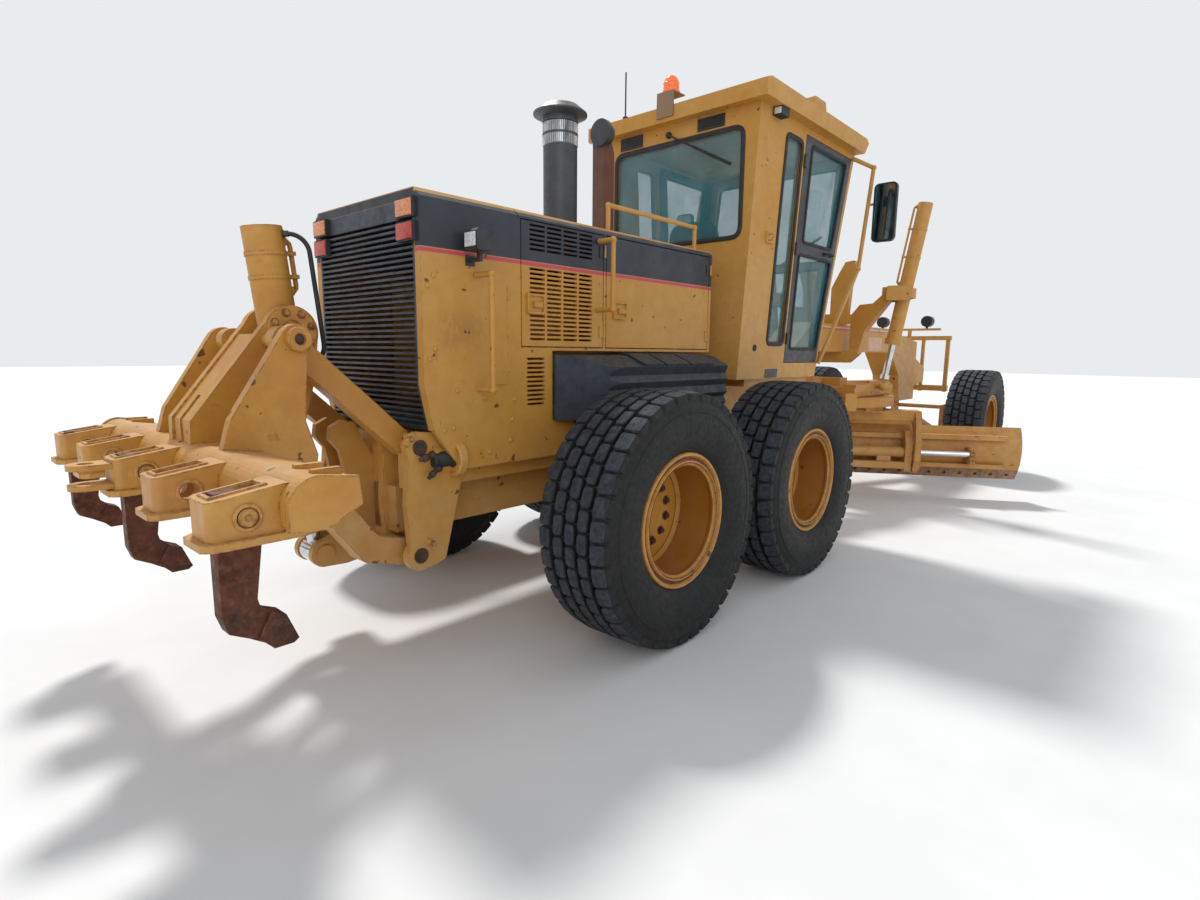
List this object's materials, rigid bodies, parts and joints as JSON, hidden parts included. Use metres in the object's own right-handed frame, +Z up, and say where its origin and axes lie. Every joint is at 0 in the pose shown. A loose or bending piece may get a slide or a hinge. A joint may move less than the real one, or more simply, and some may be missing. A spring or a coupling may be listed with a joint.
{
  "type": "motor grader",
  "caption": "Articulated motor grader with tandem drive, enclosed cab, leaning front wheels, circle-mounted moldboard, rear parallelogram ripper and front lift frame.",
  "frame": {"origin": "middle of the bounding box in plan, on the ground under the wheels", "axes": "+X forward, +Y to the left, +Z up"},
  "size_m": [10.1668, 3.7598, 3.725],
  "materials": {
    "tyre": "matt, dusty",
    "paint": "aged gloss, chipped",
    "black_paint": "satin",
    "black_plastic": "matt",
    "iron": "oily",
    "lamp": "gloss",
    "seat": "woven",
    "rusty_steel": "rusted",
    "chrome": "polished",
    "glass": "tinted"
  },
  "bodies": {
    "rear": {"rear_frame": "paint", "tandem_cases": "paint", "engine": "iron", "hood": "paint", "grille": "black_paint", "tail_lamps": "lamp", "fenders": "black_plastic", "exhaust": "black_paint"},
    "engine_door_r": {"engine_door_r": "paint"},
    "engine_door_l": {"engine_door_l": "paint"},
    "louvre_door_r": {"louvre_door_r": "paint"},
    "louvre_door_l": {"louvre_door_l": "paint"},
    "wheel_rr": {"tyre_rr": "tyre", "rim_rr": "paint"},
    "wheel_rl": {"tyre_rl": "tyre", "rim_rl": "paint"},
    "wheel_mr": {"tyre_mr": "tyre", "rim_mr": "paint"},
    "wheel_ml": {"tyre_ml": "tyre", "rim_ml": "paint"},
    "ripper_arms": {"ripper_arms": "paint"},
    "ripper_links": {"ripper_links": "paint"},
    "ripper_beam": {"ripper_beam": "paint", "ripper_shanks": "rusty_steel"},
    "ripper_barrel": {"ripper_barrel": "paint"},
    "ripper_rod": {"ripper_rod": "chrome"},
    "front": {"front_frame": "paint", "lift_arms": "paint", "cab": "paint", "cab_seat": "seat", "mirrors_lamps": "black_paint", "beacon": "lamp", "front_axle": "paint"},
    "cab_door_r": {"cab_door_r": "black_paint"},
    "cab_door_l": {"cab_door_l": "black_paint"},
    "lean_r": {"lean_carrier_r": "paint"},
    "lean_l": {"lean_carrier_l": "paint"},
    "lean_bar": {"lean_bar": "paint"},
    "knuckle_r": {"knuckle_r": "paint"},
    "knuckle_l": {"knuckle_l": "paint"},
    "tie_end": {"tie_end": "paint"},
    "tie_rod": {"tie_rod": "paint"},
    "wheel_fr": {"tyre_fr": "tyre", "rim_fr": "paint"},
    "wheel_fl": {"tyre_fl": "tyre", "rim_fl": "paint"},
    "drawbar_ball": {"drawbar_ball": "paint"},
    "drawbar": {"drawbar": "paint"},
    "turning_circle": {"turning_circle": "paint"},
    "blade_carriage": {"blade_carriage": "paint"},
    "moldboard": {"moldboard": "paint"},
    "lift_ring_r": {"lift_ring_r": "paint"},
    "lift_ring_l": {"lift_ring_l": "paint"},
    "lift_barrel_r": {"lift_barrel_r": "paint"},
    "lift_barrel_l": {"lift_barrel_l": "paint"},
    "lift_rod_r": {"lift_rod_r": "chrome"},
    "lift_rod_l": {"lift_rod_l": "chrome"}
  },
  "joints": [
    {"name": "articulation", "type": "hinge", "parent": "rear", "child": "front", "pos_m": [-1.1875, 0, 0.87], "axis": [0, 0, 1], "range_deg": [-20, 20]},
    {"name": "wheel_rr_spin", "type": "hinge", "parent": "rear", "child": "wheel_rr", "pos_m": [-2.8085, -1.07, 0.67], "axis": [0, 1, 0], "continuous": true},
    {"name": "wheel_rl_spin", "type": "hinge", "parent": "rear", "child": "wheel_rl", "pos_m": [-2.8085, 1.07, 0.67], "axis": [0, 1, 0], "continuous": true},
    {"name": "wheel_mr_spin", "type": "hinge", "parent": "rear", "child": "wheel_mr", "pos_m": [-1.2865, -1.07, 0.67], "axis": [0, 1, 0], "continuous": true},
    {"name": "wheel_ml_spin", "type": "hinge", "parent": "rear", "child": "wheel_ml", "pos_m": [-1.2865, 1.07, 0.67], "axis": [0, 1, 0], "continuous": true},
    {"name": "louvre_door_r_swing", "type": "hinge", "parent": "rear", "child": "louvre_door_r", "pos_m": [-2.6125, -0.5083, 1.76], "axis": [0, 0, 1], "range_deg": [0, 100]},
    {"name": "louvre_door_l_swing", "type": "hinge", "parent": "rear", "child": "louvre_door_l", "pos_m": [-2.6125, 0.5083, 1.76], "axis": [0, 0, 1], "range_deg": [-100, 0]},
    {"name": "engine_door_r_swing", "type": "hinge", "parent": "rear", "child": "engine_door_r", "pos_m": [-1.4905, -0.5083, 1.76], "axis": [0, 0, 1], "range_deg": [0, 100]},
    {"name": "engine_door_l_swing", "type": "hinge", "parent": "rear", "child": "engine_door_l", "pos_m": [-1.4905, 0.5083, 1.76], "axis": [0, 0, 1], "range_deg": [-100, 0]},
    {"name": "cab_door_r_swing", "type": "hinge", "parent": "front", "child": "cab_door_r", "pos_m": [-0.5475, -0.68795, 2.3], "axis": [0, 0.0576, -0.9983], "range_deg": [0, 150]},
    {"name": "cab_door_l_swing", "type": "hinge", "parent": "front", "child": "cab_door_l", "pos_m": [-0.5475, 0.68795, 2.3], "axis": [0, 0.0576, 0.9983], "range_deg": [0, 150]},
    {"name": "ripper_lower", "type": "hinge", "parent": "rear", "child": "ripper_arms", "pos_m": [-3.8475, 0, 0.545], "axis": [0, -1, 0], "range_deg": [0, 52]},
    {"name": "ripper_link_swing", "type": "hinge", "parent": "rear", "child": "ripper_links", "pos_m": [-3.8375, 0, 1.07], "axis": [0, -1, 0], "range_deg": [0, 52]},
    {"name": "ripper_beam_level", "type": "hinge", "parent": "ripper_arms", "child": "ripper_beam", "pos_m": [-4.3845, 0, 1.039], "axis": [0, -1, 0], "range_deg": [-52, 0]},
    {"name": "ripper_cylinder_swing", "type": "hinge", "parent": "ripper_beam", "child": "ripper_barrel", "pos_m": [-4.2695, 0, 1.6], "axis": [0, -1, 0], "range_deg": [0, 27.92]},
    {"name": "ripper_cylinder_stroke", "type": "slide", "parent": "ripper_barrel", "child": "ripper_rod", "axis": [-0.1061, 0, 0.9944], "range_m": [0, 0.52879]},
    {"name": "wheel_lean", "type": "hinge", "parent": "front", "child": "lean_r", "pos_m": [4.0395, -0.69, 0.5], "axis": [1, 0, 0], "range_deg": [-18, 18]},
    {"name": "wheel_lean_left", "type": "hinge", "parent": "front", "child": "lean_l", "pos_m": [4.0395, 0.69, 0.5], "axis": [1, 0, 0], "range_deg": [-18, 18]},
    {"name": "lean_bar_level", "type": "hinge", "parent": "lean_r", "child": "lean_bar", "pos_m": [4.0395, -0.69, 0.83], "axis": [1, 0, 0], "range_deg": [-18, 18]},
    {"name": "steer", "type": "hinge", "parent": "lean_r", "child": "knuckle_r", "pos_m": [4.0395, -0.79, 0.67], "axis": [0, 0, 1], "range_deg": [-50, 50]},
    {"name": "steer_left", "type": "hinge", "parent": "lean_l", "child": "knuckle_l", "pos_m": [4.0395, 0.79, 0.67], "axis": [0, 0, 1], "range_deg": [-50, 50]},
    {"name": "tie_end_turn", "type": "hinge", "parent": "knuckle_r", "child": "tie_end", "pos_m": [3.7595, -0.79, 0.53], "axis": [0, 0, 1], "range_deg": [-50, 50]},
    {"name": "tie_rod_level", "type": "hinge", "parent": "tie_end", "child": "tie_rod", "pos_m": [3.7595, -0.79, 0.53], "axis": [1, 0, 0], "range_deg": [-15.75, 15.75]},
    {"name": "wheel_fr_spin", "type": "hinge", "parent": "knuckle_r", "child": "wheel_fr", "pos_m": [4.0395, -1.07, 0.67], "axis": [0, 1, 0], "continuous": true},
    {"name": "wheel_fl_spin", "type": "hinge", "parent": "knuckle_l", "child": "wheel_fl", "pos_m": [4.0395, 1.07, 0.67], "axis": [0, 1, 0], "continuous": true},
    {"name": "drawbar_side_shift", "type": "hinge", "parent": "front", "child": "drawbar_ball", "pos_m": [3.6525, 0, 1], "axis": [0, 0, 1], "range_deg": [-9, 9]},
    {"name": "blade_lift", "type": "hinge", "parent": "drawbar_ball", "child": "drawbar", "pos_m": [3.6525, 0, 1], "axis": [0, 1, 0], "range_deg": [-25, 6.8]},
    {"name": "lift_ring_r_swing", "type": "hinge", "parent": "front", "child": "lift_ring_r", "pos_m": [1.85726, -0.76892, 2.16], "axis": [0.9409, 0.3387, 0], "range_deg": [-12.7, 12.7]},
    {"name": "lift_barrel_r_swing", "type": "hinge", "parent": "lift_ring_r", "child": "lift_barrel_r", "pos_m": [1.85726, -0.76892, 2.16], "axis": [0.7218, 0.6921, 0], "range_deg": [-5.25, 1.44]},
    {"name": "lift_rod_r_stroke", "type": "slide", "parent": "lift_barrel_r", "child": "lift_rod_r", "axis": [0.0385, -0.1432, 0.9889], "range_m": [-0.792, 0.216]},
    {"name": "lift_ring_l_swing", "type": "hinge", "parent": "front", "child": "lift_ring_l", "pos_m": [1.85726, 0.76892, 2.16], "axis": [0.9409, -0.3387, 0], "range_deg": [-12.7, 12.7]},
    {"name": "lift_barrel_l_swing", "type": "hinge", "parent": "lift_ring_l", "child": "lift_barrel_l", "pos_m": [1.85726, 0.76892, 2.16], "axis": [0.7218, -0.6921, 0], "range_deg": [-1.44, 5.25]},
    {"name": "lift_rod_l_stroke", "type": "slide", "parent": "lift_barrel_l", "child": "lift_rod_l", "axis": [0.0385, 0.1432, 0.9889], "range_m": [-0.792, 0.216]},
    {"name": "circle_turn", "type": "hinge", "parent": "drawbar", "child": "turning_circle", "pos_m": [1.6725, 0, 1.029], "axis": [0, 0, -1], "range_deg": [-20, 80]},
    {"name": "blade_tip", "type": "hinge", "parent": "turning_circle", "child": "blade_carriage", "pos_m": [1.30011, -0.215, 0.345], "axis": [-0.5, 0.866, 0], "range_deg": [-5, 40]},
    {"name": "blade_side_shift", "type": "slide", "parent": "blade_carriage", "child": "moldboard", "axis": [-0.5, 0.866, 0], "range_m": [-0.78, 0.39]}
  ],
  "couplings": [
    {"joint": "ripper_link_swing", "follows": "ripper_lower", "ratio": 1},
    {"joint": "ripper_beam_level", "follows": "ripper_lower", "ratio": -1},
    {"joint": "ripper_cylinder_swing", "follows": "ripper_lower", "ratio": 0.53701},
    {"joint": "ripper_cylinder_stroke", "follows": "ripper_lower", "m_per_rad": 0.58264},
    {"joint": "wheel_lean_left", "follows": "wheel_lean", "ratio": 1},
    {"joint": "lean_bar_level", "follows": "wheel_lean", "ratio": -1},
    {"joint": "steer_left", "follows": "steer", "ratio": 1},
    {"joint": "tie_end_turn", "follows": "steer", "ratio": -1},
    {"joint": "tie_rod_level", "follows": "wheel_lean", "ratio": -0.8748},
    {"joint": "lift_ring_r_swing", "follows": "drawbar_side_shift", "ratio": -1.4055},
    {"joint": "lift_barrel_r_swing", "follows": "blade_lift", "ratio": 0.2096},
    {"joint": "lift_rod_r_stroke", "follows": "blade_lift", "m_per_rad": 1.8137},
    {"joint": "lift_ring_l_swing", "follows": "drawbar_side_shift", "ratio": -1.4055},
    {"joint": "lift_barrel_l_swing", "follows": "blade_lift", "ratio": -0.2096},
    {"joint": "lift_rod_l_stroke", "follows": "blade_lift", "m_per_rad": 1.8137}
  ]
}
